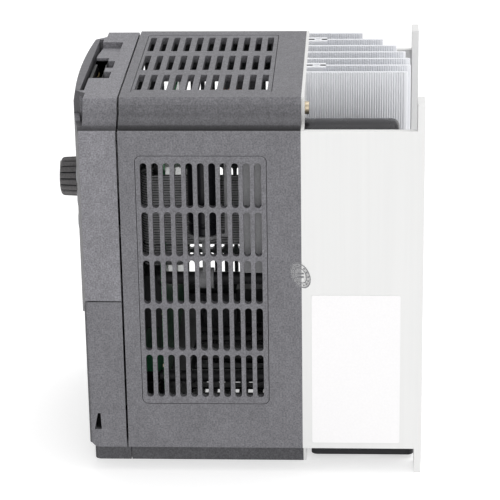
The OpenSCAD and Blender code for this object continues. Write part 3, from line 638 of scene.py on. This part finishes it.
def grommets():
    """Three rubber rings with a stepped lip and a thin rim round the bore."""
    low, high = low_high("cable_grommets")
    outer = (high.y - low.y) / 2
    neck = outer - 1.3
    bore = outer - 2.2
    lip = high.z - 2
    profile = [
        (bore, low.z + 0.3), (bore + 0.3, low.z), (neck - 0.3, low.z), (neck, low.z + 0.3), (neck, lip),
        (outer - 0.3, lip), (outer, lip + 0.3), (outer, high.z - 0.6), (outer - 0.6, high.z),
        (bore + 1, high.z), (bore + 0.6, high.z - 0.5), (bore, high.z - 0.8), (bore, low.z + 0.3)]
    shape = Shape()
    for x in (low.x + outer, 0, high.x - outer):
        shape.lathe(profile, (x, (low.y + high.y) / 2))
    shape.done("grommets", "chassis", "rubber", ["cable_grommets"])


def port_contacts():
    """Gilt spring contacts on the floor of the service port."""
    low, high = low_high("service_port")
    first, pitch = low.x + 13.2, 1.27
    shape = Shape()
    for i in range(8):
        x = first + pitch * i
        shape.tube([(x, high.y - 2.6, high.z - 1.6), (x, high.y - 3.4, high.z - 2.2),
            (x, low.y + 2.6, high.z - 4.4)], 0.22, 6)
    shape.done("port_contacts", "chassis", "brass")
    finished("service_port", 0.2)


# ---- Keypad --------------------------------------------------------------------------------------

def icon_strokes(kind):
    """Generic signs, as lists of convex outlines around (0, 0), in millimetres."""
    arrow = [(-1.6, -0.9), (1.6, -0.9), (0, 1.3)]
    shapes = {
        "up": [arrow],
        "down": [[(x, -y) for x, y in reversed(arrow)]],
        "shift": [[(0.2, -1.5), (0.2, 1.5), (-2.0, 0)], rectangle((0.2, -0.5), (2.1, 0.5))],
        "menu": [rectangle((-1.9, y), (1.9, y + 0.5)) for y in (-1.45, -0.25, 0.95)],
        "enter": [[(-0.3, -1.5), (-0.3, 1.1), (-2.3, -0.2)], rectangle((-0.3, -0.5), (1.6, 0)),
            rectangle((1.6, -0.5), (2.1, 1.6))],
        "jog": [circle(0.9, 20), rectangle((1.3, -1.3), (1.8, 1.3)), rectangle((-1.8, -1.3), (-1.3, 1.3))],
        "run": [[(-1.1, -1.5), (1.6, 0), (-1.1, 1.5)]],
        "stop": [circle(1.4, 8, math.pi / 8)],
    }
    return shapes[kind]


# Radius of the convex front that the keypad buttons follow
FACE_RADIUS = 310.4


def key(kind):
    """A keypad button: a crowned cap with a printed sign, bent like the keypad's face, on its flange."""
    node = kind + "_button"
    low, high = low_high(node)
    middle = middle_of(low, high, "xz")
    rim = 0.8
    half = ((high.x - low.x) / 2 - rim, (high.z - low.z) / 2 - rim)
    near = max(0.0, abs(middle[0]) - half[0])

    def bend(u):
        return ((middle[0] + u) ** 2 - near ** 2) / (2 * FACE_RADIUS)

    shape = Shape()
    flange = high.y - 2.9
    shape.box((low.x, flange, low.z), high)
    rings = []
    # How far in from the cap's side each ring is, and where it lies
    layers = [(0, flange), (0, low.y + 0.75), (0.12, low.y + 0.45), (0.45, low.y + 0.2),
        (1.2, low.y + 0.08), (2.4, low.y)]
    for inset, y in layers:
        across, up = half[0] - inset, half[1] - inset
        outline = rounded_rectangle((-across, -up), (across, up), max(0.4, 1.5 - inset * 0.35))
        rings.append(shape.loop(
            [along("y", middle, u, v, y + (bend(u) if y != flange else 0)) for u, v in outline]))
    for first, second in zip(rings, rings[1:]):
        shape.bridge(first, second)
    shape.face(rings[-1], True)
    shape.index = 1
    for outline in icon_strokes(kind):
        shape.prism(outline, low.y - 0.02, low.y + 0.12, "y", middle, bend)
    shape.done(kind + "_key_cap", kind + "_key", SLOT_OF[node], [node], ["white_plastic"])


def speed_knob():
    """A fluted knob with a domed end and a white pointer line."""
    low, high = low_high("speed_knob")
    centre = middle_of(low, high, "xz")
    radius = (high.z - low.z) / 2 - 0.02
    flutes, flute_depth = 18, 0.95
    count = flutes * 12
    shape = Shape()
    rings = []
    # Rings from the keypad outwards: place, radius, and share of the flute's depth
    levels = [
        (high.y, radius - 0.5, 0.0), (high.y - 0.3, radius - 0.1, 0.0), (high.y - 1.1, radius, 0.0),
        (high.y - 1.3, radius - 0.05, 0.6), (low.y + 2.4, radius - 0.35, 1.0),
        (low.y + 1.5, radius - 0.7, 1.0), (low.y + 0.9, radius - 1.4, 0.7), (low.y + 0.6, radius - 2.4, 0.2),
        (low.y + 0.34, radius - 4.5, 0.0), (low.y + 0.14, radius - 7, 0.0)]
    for y, r, flute in levels:
        ring = []
        for i in range(count):
            angle = 2 * math.pi * i / count
            reach = r - flute_depth * flute * max(0.0, math.cos(flutes * angle)) ** 2
            ring.append(along("y", centre, reach * math.sin(angle), reach * math.cos(angle), y))
        rings.append(shape.loop(ring))
    for level, (first, second) in enumerate(zip(rings, rings[1:])):
        for i in range(count):
            j = (i + 1) % count
            # The deepest flute faces of the middle rings take the black finish as painted shade
            deep = math.cos(flutes * 2 * math.pi * (i + 0.5) / count) > 0.75
            shape.index = 2 if deep and 3 <= level <= 5 else 0
            shape.face([first[i], first[j], second[j], second[i]], True)
    shape.index = 0
    shape.face(rings[-1], True)
    shape.face(list(reversed(rings[0])))
    shape.index = 1
    shape.prism(rectangle((-0.5, 3), (0.5, radius - 1.9)), low.y + 0.02, low.y + 0.75, "y", centre)
    shape.done("fluted_knob", "knob", "knob_plastic", ["speed_knob"],
        ["white_plastic", "black_plastic"], angle=50)


def digits():
    """A dark display block with five slanted seven-segment places, which read 50.00 in red."""
    low, high = low_high("digit_display")
    shape = Shape()
    shape.box(low, high)
    # Corners of the segments, round a digit's middle
    segments = {
        "a": ((-1.5, 4.0), (1.5, 4.8)), "b": ((1.7, 0.5), (2.5, 4.2)), "c": ((1.7, -4.2), (2.5, -0.5)),
        "d": ((-1.5, -4.8), (1.5, -4.0)), "e": ((-2.5, -4.2), (-1.7, -0.5)), "f": ((-2.5, 0.5), (-1.7, 4.2)),
        "g": ((-1.5, -0.4), (1.5, 0.4))}
    lit = {"0": "abcdef", "5": "acdfg"}
    slant, pitch = 0.12, 9
    front, back = low.y - 0.12, low.y + 0.1
    z = (low.z + high.z) / 2
    for index, digit in enumerate(["", "5", "0", "0", "0"]):
        x = pitch * (index - 2)
        for name, (start, end) in segments.items():
            shape.index = 1 if name in lit.get(digit, "") else 2
            outline = [(u + slant * v, v) for u, v in rectangle(start, end)]
            shape.prism(outline, front, back, "y", (x, z))
        shape.index = 1 if index == 2 else 2
        shape.prism(circle(0.55, 14), front, back, "y", (x + 3.6, z - 4.4))
    shape.done("digits", "keypad", "black_plastic", ["digit_display"], ["lit_segment", "dark_segment"])


def keypad_details():
    """The parts behind the keypad's face, with small parts on the back of its board."""
    finished("display_window", 0.15)
    finished("keypad_board", 0.1)
    finished("status_lamps", 0.3, 30)
    finished("potentiometer", 0.2)
    finished("potentiometer_shaft", 0.25)
    low, high = low_high("keypad_board")
    shape = Shape()
    rng = random.Random(4)
    for i in range(26):
        x = rng.uniform(low.x + 4, high.x - 4)
        z = rng.uniform(low.z + 3, low.z + 46)
        shape.index = i % 2
        shape.box((x, high.y, z), (x + 1.6, high.y + 0.6, z + 0.8))
    shape.done("keypad_smd", "keypad", "black_plastic", (), ["steel"], edge=0.06)


# ---- Control and power electronics ---------------------------------------------------------------

def smd_field(name, node, seed, count, avoid):
    """Small chip parts with tinned ends over a board's front, clear of what stands there."""
    low, high = low_high(node)
    margin, gap = 6, 3
    rng = random.Random(seed)
    shape = Shape()
    placed = tries = 0
    while placed < count and tries < count * 30:
        tries += 1
        wide, tall, deep = rng.choice([(1.6, 0.8, 0.5), (2.0, 1.2, 0.6), (3.2, 1.6, 0.6), (3, 1.4, 1.1)])
        if rng.random() < 0.5:
            wide, tall = tall, wide
        x = rng.uniform(low.x + margin, high.x - margin)
        z = rng.uniform(low.z + margin, high.z - margin)
        if any(a - gap < x < b + gap and c - gap < z < d + gap for a, b, c, d in avoid):
            continue
        front, back = low.y - deep, low.y
        shape.index = 0
        shape.box((x, front, z), (x + wide, back, z + tall))
        shape.index = 1
        if wide > tall:
            for start in (x - 0.15, x + wide - 0.35):
                shape.box((start, front - 0.02, z - 0.02), (start + 0.5, back, z + tall + 0.02))
        else:
            for start in (z - 0.15, z + tall - 0.35):
                shape.box((x - 0.02, front - 0.02, start), (x + wide + 0.02, back, start + 0.5))
        placed += 1
    shape.done(name, "chassis", "black_plastic", (), ["steel"])


def footprint(*nodes):
    """Boxes in X and Z that nodes cover, for keeping small parts clear of them."""
    boxes = []
    for node in nodes:
        low, high = low_high(node)
        boxes.append((low.x, high.x, low.z, high.z))
    return boxes


def chip_legs():
    """Gull-wing legs above and below each control chip, and the control board's own parts."""
    # Left and bottom edge, width and height
    chips = [(-30, 24, 14, 14), (5, 28, 10, 16), (-8, -12, 20, 9), (-40, 50, 16, 8)]
    pitch = 0.8
    face = low_high("control_board")[0].y
    shape = Shape()
    for x, z, wide, tall in chips:
        count = int(wide / pitch)
        for i in range(count):
            u = x + (i + 0.5) * wide / count
            for edge, way in ((z, -1), (z + tall, 1)):
                shape.tube([(u, face - 1.1, edge), (u, face - 1.1, edge + way * 0.4),
                    (u, face - 0.15, edge + way * 0.7), (u, face - 0.12, edge + way * 1.2)], 0.14, 6)
    shape.done("chip_legs", "chassis", "steel")
    finished("control_chips", 0.15)
    finished("control_board", 0.1)
    finished("control_terminals", 0.2)


def power_parts():
    """Parts in the housing that keep their CAD shape; the larger edges are rounder."""
    for node, width in {
            "power_board": 0.1, "board_posts": 0.2, "power_module": 0.4, "rectifier_bridge": 0.5,
            "ribbon_sockets": 0.2, "capacitor_cradle": 0.3, "choke_shelf": 0.2,
            "main_terminals": 0.3, "terminal_screws": 0.15, "busbars": 0.2, "terminal_shelf": 0.2,
            "film_capacitor": 0.8}.items():
        finished(node, width, segments=3 if width > 0.4 else 2)
    finished("precharge_relay", 0.6, segments=3, slot="black_plastic")


def transformer():
    """Stacked laminations round a wound bobbin, with end cheeks and a foot on the power board."""
    low, high = low_high("transformer_core")
    shape = Shape()
    yoke, leg = 8, 4
    sheets = 20
    pitch = (high.y - low.y) / sheets
    for i in range(sheets):
        y = low.y + i * pitch
        inset = 0.0 if i % 2 else 0.12
        for bottom, top in ((low.z, low.z + yoke), (high.z - yoke, high.z)):
            outline = rectangle((low.x + inset, bottom + inset), (high.x - inset, top - inset))
            shape.prism(outline, y, y + pitch, "y")
        for left, right in ((low.x, low.x + leg), (high.x - leg, high.x)):
            outline = rectangle((left + inset, low.z + yoke), (right - inset, high.z - yoke))
            shape.prism(outline, y, y + pitch, "y")
    shape.done("laminations", "chassis", "ferrite", ["transformer_core"])

    low, high = low_high("transformer_winding")
    centre = ((low.x + high.x) / 2, low.y + 9.3)
    shape = Shape()
    turns, cheek, foot = 26, 1.4, 7.9
    top, bottom = high.z - cheek, low.z + cheek
    rise = (top - bottom) / turns
    profile = [(3, bottom)]
    for i in range(turns):
        z = bottom + i * rise
        profile += [(8.3, z), (8.7, z + rise * 0.3), (8.7, z + rise * 0.7), (8.3, z + rise * 0.98)]
    profile += [(3, top)]
    shape.lathe(profile, centre, "z", 40)
    shape.index = 1
    for z in (low.z, top):
        shape.lathe([(3, z), (9.0, z), (9.2, z + 0.2), (9.2, z + 1.2), (9.0, z + cheek), (3, z + cheek)],
            centre, "z", 40)
    shape.box((centre[0] - foot, centre[1] + 8.5, low.z + 2), (centre[0] + foot, high.y, high.z - 2))
    shape.done("bobbin", "chassis", "copper", ["transformer_winding"], ["white_plastic"])


def flat_strip(shape, line, low_z, high_z, ways):
    """Ribbed conductors side by side along a line seen from above, with painted shade in the grooves
    between.
    """
    pitch = (high_z - low_z) / ways
    section = []
    for i in range(ways):
        for step in range(4):
            thick = 0.5 * (0.55 + 0.45 * math.sin(math.pi * step / 4))
            section.append((low_z + (i + step / 4) * pitch, thick))
    section.append((high_z, 0.27))
    points = [Vector((x, y, 0)) for x, y in line]
    rings = []
    for i, point in enumerate(points):
        before = points[max(0, i - 1)]
        after = points[min(len(points) - 1, i + 1)]
        forward = (after - before).normalized()
        side = Vector((forward.y, -forward.x, 0))
        ring = [(point.x + side.x * t, point.y + side.y * t, z) for z, t in section]
        ring += [(point.x - side.x * t, point.y - side.y * t, z) for z, t in reversed(section)]
        rings.append(shape.loop(ring))
    for first, second in zip(rings, rings[1:]):
        count = len(first)
        for i in range(count):
            # Groove faces take the black finish as painted shade
            groove = i % 4 == 0 if i < count // 2 else (count - i) % 4 == 1
            shape.index = 1 if groove else 0
            j = (i + 1) % count
            shape.face([first[i], first[j], second[j], second[i]], True)
    shape.index = 0
    shape.face(rings[0])
    shape.face(list(reversed(rings[-1])))


def ribbon():
    """A flat cable folded over at the front; its lowest ways turn back behind the control board."""
    low, high = low_high("ribbon_cable")
    board_low, board_high = low_high("control_board")
    inner, outer = low.x + 0.5, high.x - 0.5
    middle = (inner + outer) / 2
    reach = (outer - inner) / 2
    fold = low.y + 0.5 + reach
    # The rear socket's face, the place where the lowest ways turn, and the heights between the two
    socket, part, split_low, split_high = -80.3, -117, 15.0, 15.4
    angles = [math.pi * i / 14 for i in range(1, 14)]
    front_turn = [(middle + reach * math.cos(a), fold - reach * math.sin(a)) for a in angles]
    rear_turn = [(middle - reach * math.cos(a), part + reach * math.sin(a)) for a in angles]
    home = [(outer, fold), *front_turn, (inner, fold), (inner, board_low.y - 4.2)]
    shape = Shape()
    flat_strip(shape, [(outer, socket), *home], split_high, high.z, 28)
    flat_strip(shape, [(inner, board_high.y + 4.3), (inner, part), *rear_turn, (outer, part), *home],
        low.z, split_low, 8)
    shape.done("flat_cable", "chassis", "grey_plastic", ["ribbon_cable"], ["black_plastic"], angle=60)


def can_profile(radius, bottom, top, rolled):
    """A capacitor's outline: a groove near one end and rolled shoulders at both."""
    flat = radius - rolled
    turns = [math.radians(18 * i) for i in range(6)]
    points = [(0, bottom)]
    points += [(flat + rolled * math.sin(a), bottom + rolled * (1 - math.cos(a))) for a in turns]
    points += [(radius, bottom + 4), (radius - 0.8, bottom + 4.8), (radius - 0.8, bottom + 5.6),
        (radius, bottom + 6.4)]
    points += [(flat + rolled * math.cos(a), top - rolled + rolled * math.sin(a)) for a in turns]
    return points + [(flat - 0.7, top - 0.02), (flat - 0.8, top - 0.25), (0, top - 0.25)]


def link_capacitors():
    """Four sleeved cans: a bare aluminium end with a vent cross, and a dashed stripe down the side."""
    low, high = low_high("link_capacitors")
    radius = (high.x - low.x) / 2
    x = (low.x + high.x) / 2
    cans = 4
    pitch = (high.z - low.z - 2 * radius) / (cans - 1)
    stripe = arc_band(radius - 0.1, radius, 174, 186, 4)
    shape = Shape()
    for i in range(cans):
        z = high.z - radius - pitch * i
        shape.index = 0
        shape.lathe(can_profile(radius - 0.05, low.y, high.y, 3.6), (x, z), "y", 72)
        shape.index = 1
        shape.lathe([(0, high.y - 0.23), (radius - 5.2, high.y - 0.23), (radius - 5.2, high.y - 0.35)],
            (x, z), "y", 48)
        shape.index = 0
        for turn in (0, 60, 120):
            u = (radius - 7) * math.cos(math.radians(turn))
            v = (radius - 7) * math.sin(math.radians(turn))
            shape.tube([(x - u, high.y - 0.22, z - v), (x + u, high.y - 0.22, z + v)], 0.22, 6)
        # Dashes of the polarity stripe, which faces the fins
        shape.index = 2
        for y in range(-64, -15, 10):
            shape.prism(stripe, y, y + 5.5, "y", (x, z))
    shape.done("sleeved_cans", "chassis", "cap_sleeve", ["link_capacitors"], ["aluminium", "grey_plastic"])


def filter_capacitor():
    """An upright sleeved can with a pale polarity stripe."""
    low, high = low_high("filter_capacitor")
    radius = (high.x - low.x) / 2
    centre = middle_of(low, high, "xy")
    shape = Shape()
    shape.lathe(can_profile(radius - 0.05, low.z, high.z, 1.6), centre, "z", 64)
    shape.index = 1
    shape.lathe([(0, high.z - 0.23), (radius - 2.9, high.z - 0.23), (radius - 2.9, high.z - 0.3)],
        centre, "z", 40)
    shape.index = 2
    shape.prism(arc_band(radius - 0.1, radius, 155, 205, 8), low.z + 7, high.z - 2, "z", centre)
    shape.done("filter_can", "chassis", "cap_sleeve", ["filter_capacitor"], ["aluminium", "white_plastic"])


def toroid_choke():
    """A coated ring with two windings of enamelled wire."""
    low, high = low_high("choke_core")
    centre = middle_of(low, high, "xy")
    outer = (high.x - low.x) / 2
    inner = outer - 5
    shape = Shape()
    cut = 1.2
    profile = [(inner + cut, low.z), (outer - cut, low.z), (outer, low.z + cut), (outer, high.z - cut),
        (outer - cut, high.z), (inner + cut, high.z), (inner, high.z - cut), (inner, low.z + cut),
        (inner + cut, low.z)]
    shape.lathe(profile, centre, "z", 64)
    shape.done("choke_ring", "chassis", "ferrite", ["choke_core"], angle=60)

    shape = Shape()
    wire, turns, spread = 0.78, 10, 126
    near, far = inner - wire - 0.05, outer + wire + 0.05
    floor, roof = low.z - wire - 0.05, high.z + wire + 0.05
    # One turn round the ring's section, as distance from the axis and height, with cut corners
    turn = [(near, floor + 1), (near, roof - 1), (near + 0.3, roof - 0.3), (near + 1, roof), (far - 1, roof),
        (far - 0.3, roof - 0.3), (far, roof - 1), (far, floor + 1), (far - 0.3, floor + 0.3),
        (far - 1, floor), (near + 1, floor), (near + 0.3, floor + 0.3)]
    for start in (117, 297):
        for i in range(turns):
            a = math.radians(start + i * spread / (turns - 1))
            path = [along("z", centre, r * math.cos(a), r * math.sin(a), z) for r, z in turn]
            shape.tube(path, wire, 8, closed=True)
    shape.done("choke_turns", "chassis", "copper", ["choke_winding"])


# ---- Heatsink bay --------------------------------------------------------------------------------

def ribbed_fins():
    """Extruded fins whose faces carry fine ribs, two of them with a screw port at the root."""
    low, high = low_high("heatsink_fins")
    half, rib, count = 1.0, 1.15, 7
    # A screw port is a block at the fin's root with a round hole
    depth, wide, bore, around = 9.2, 7.6, 1.9, 32
    pitch = (high.x - low.x - 2 * half) / (count - 1)
    # The rear ends lie on a wide arc
    arc, arc_top = 72, -5.2
    shape = Shape()
    for i in range(count):
        x = low.x + half + pitch * i
        rear = arc_top - arc + math.sqrt(arc * arc - x * x)
        port = i in (1, 5)
        start = low.y + (depth if port else 0.8)
        right = [(half, low.y), (half, start)]
        steps = int((rear - start - 1) / rib)
        for k in range(steps):
            y = start + k * rib
            right += [(half - 0.22, y + rib * 0.2), (half - 0.22, y + rib * 0.45), (half, y + rib * 0.65),
                (half, y + rib * 0.95)]
        right += [(half - 0.2, rear - 0.3), (half - 0.7, rear)]
        outline = [(x + u, v) for u, v in right] + [(x - u, v) for u, v in reversed(right)]
        shape.prism(outline, low.z, high.z)
        if port:
            middle = (x, low.y + depth / 2)
            hole = circle(bore, around, math.pi / around)
            block = []
            for u, v in hole:
                reach = min(wide / 2 / abs(u), depth / 2 / abs(v))
                block.append((reach * u, reach * v))
            loops = []
            for outline, z in ((block, low.z), (block, high.z), (hole, high.z), (hole, low.z)):
                loops.append(shape.loop([along("z", middle, u, v, z) for u, v in outline]))
            for first, second in zip(loops, loops[1:] + loops[:1]):
                shape.bridge(first, second, smooth=False)
    shape.done("ribbed_fins", "chassis", "aluminium_fin", ["heatsink_fins"], angle=30)


def bay_plates():
    """The metal that the bay is made of, and the screws."""
    finished("heatsink_base", 0.2)
    finished("right_side_plate", 0.3)
    finished("left_side_plate", 0.3)
    finished("fan_tray", 0.15, slot="aluminium")
    finished("screws", 0.12, 30)


def rotor(side):
    """A fan rotor: a cup with a rounded rim and seven curved, swept blades."""
    node = side + "_fan_rotor"
    low, high = low_high(node)
    centre = middle_of(low, high, "xy")
    tip = (high.x - low.x) / 2 - 0.1
    hub, bore = 10.5, 1.6
    root = hub - 0.6
    blades, steps = 7, 6
    shape = Shape()
    profile = [(bore, low.z + 0.4), (bore + 0.4, low.z), (hub - 0.8, low.z), (hub, low.z + 0.8),
        (hub, high.z - 1.2), (hub - 0.4, high.z - 0.4), (hub - 1.2, high.z), (0, high.z)]
    shape.lathe(profile, centre, "z", 56)
    for i in range(blades):
        turn = 2 * math.pi * i / blades
        grid = []
        for surface in (-0.5, 0.5):
            rows = []
            for a in range(steps + 1):
                out = a / steps
                r = root + (tip - root) * out
                sweep = turn + 0.22 * out * out
                span = math.radians(36 - 6 * out)
                row = []
                for b in range(steps + 1):
                    across = b / steps
                    angle = sweep + span * (across - 0.5)
                    rise = low.z + 0.7 + (high.z - low.z - 1.4) * (across ** 0.8)
                    rise += surface * (1.3 - 0.6 * abs(across - 0.4))
                    row.append(along("z", centre, r * math.cos(angle), r * math.sin(angle), rise))
                rows.append(shape.loop(row))
            grid.append(rows)
        for rows, flip in ((grid[0], True), (grid[1], False)):
            for a in range(steps):
                for b in range(steps):
                    quad = [rows[a][b], rows[a + 1][b], rows[a + 1][b + 1], rows[a][b + 1]]
                    shape.face(list(reversed(quad)) if flip else quad, True)
        rim = [(a, 0) for a in range(steps)] + [(steps, b) for b in range(steps)]
        rim += [(a, steps) for a in range(steps, 0, -1)] + [(0, b) for b in range(steps, 0, -1)]
        for (a, b), (c, d) in zip(rim, rim[1:] + rim[:1]):
            shape.face([grid[0][a][b], grid[0][c][d], grid[1][c][d], grid[1][a][b]])
    shape.done(side + "_impeller", side + "_rotor", "black_plastic", [node], angle=40)


def fans():
    finished("fan_frames", 0.25, 40)
    rotor("left")
    rotor("right")


def seal():
    """A small tilted oval seal with two printed rings, a ring of dots and two short bars."""
    low, high = low_high("inspection_seal")
    middle = middle_of(low, high, "yz")
    tilt = math.radians(25)
    print_low, print_high = high.x - 0.06, high.x - 0.02
    shape = Shape()

    def oval(scale, count=48):
        points = []
        for u, v in circle(scale, count):
            u, v = 4.25 * u, 6.95 * v
            points.append((middle[0] + u * math.cos(tilt) - v * math.sin(tilt),
                middle[1] + u * math.sin(tilt) + v * math.cos(tilt)))
        return points

    shape.prism(oval(1.0), low.x, high.x - 0.05, "x")
    shape.index = 1
    for outer, inner in ((0.97, 0.90), (0.62, 0.56)):
        sides = ((outer, print_low), (outer, print_high), (inner, print_high), (inner, print_low))
        loops = [shape.loop([(x, u, v) for u, v in oval(scale)]) for scale, x in sides]
        for first, second in zip(loops, loops[1:]):
            shape.bridge(first, second, smooth=False)
    for spot in oval(0.76, 14):
        shape.prism(circle(0.42, 8), print_low, print_high, "x", spot)
    for v in (-1.2, 0.5):
        shape.prism(rectangle((-1.6, v), (1.6, v + 0.7)), print_low, print_high, "x", middle)
    shape.done("oval_seal", "chassis", "foil", ["inspection_seal"], ["seal_ink"])


def blank_label():
    """A plain white label with rounded corners."""
    low, high = low_high("rating_label")
    shape = Shape()
    outline = rounded_rectangle((low.y, low.z), (high.y, high.z), 1.0)
    shape.prism(outline, low.x, high.x - 0.02, "x")
    shape.done("blank_label", "chassis", "paper", ["rating_label"], edge=0.06)


# ---- Everything together -------------------------------------------------------------------------

for node in NODES:
    keep(node)

moulded_body()
grommets()
port_contacts()
for kind in ("run", "stop", "up", "down", "enter", "menu", "shift", "jog"):
    key(kind)
speed_knob()
digits()
keypad_details()
chip_legs()
smd_field("control_smd", "control_board", 7, 90,
    avoid=footprint("control_terminals", "ribbon_sockets") + [(-34, -12, 20, 42), (2, 18, 24, 48),
        (-12, 16, -16, 0), (28, 52, -28, 3), (-44, -20, 46, 62), (40, 66, 14, 75), (-14, 14, 12, 22)])
smd_field("power_smd", "power_board", 8, 80,
    avoid=footprint("precharge_relay", "transformer_core", "film_capacitor", "ribbon_sockets", "choke_shelf",
        "busbars") + [(x - 3, x + 3, z - 3, z + 3) for x, z in ((24, 66), (30, -68), (-58, 66), (-58, -68))])
power_parts()
transformer()
ribbon()
link_capacitors()
filter_capacitor()
toroid_choke()
ribbed_fins()
bay_plates()
fans()
seal()
blank_label()
make_camera()
make_studio()
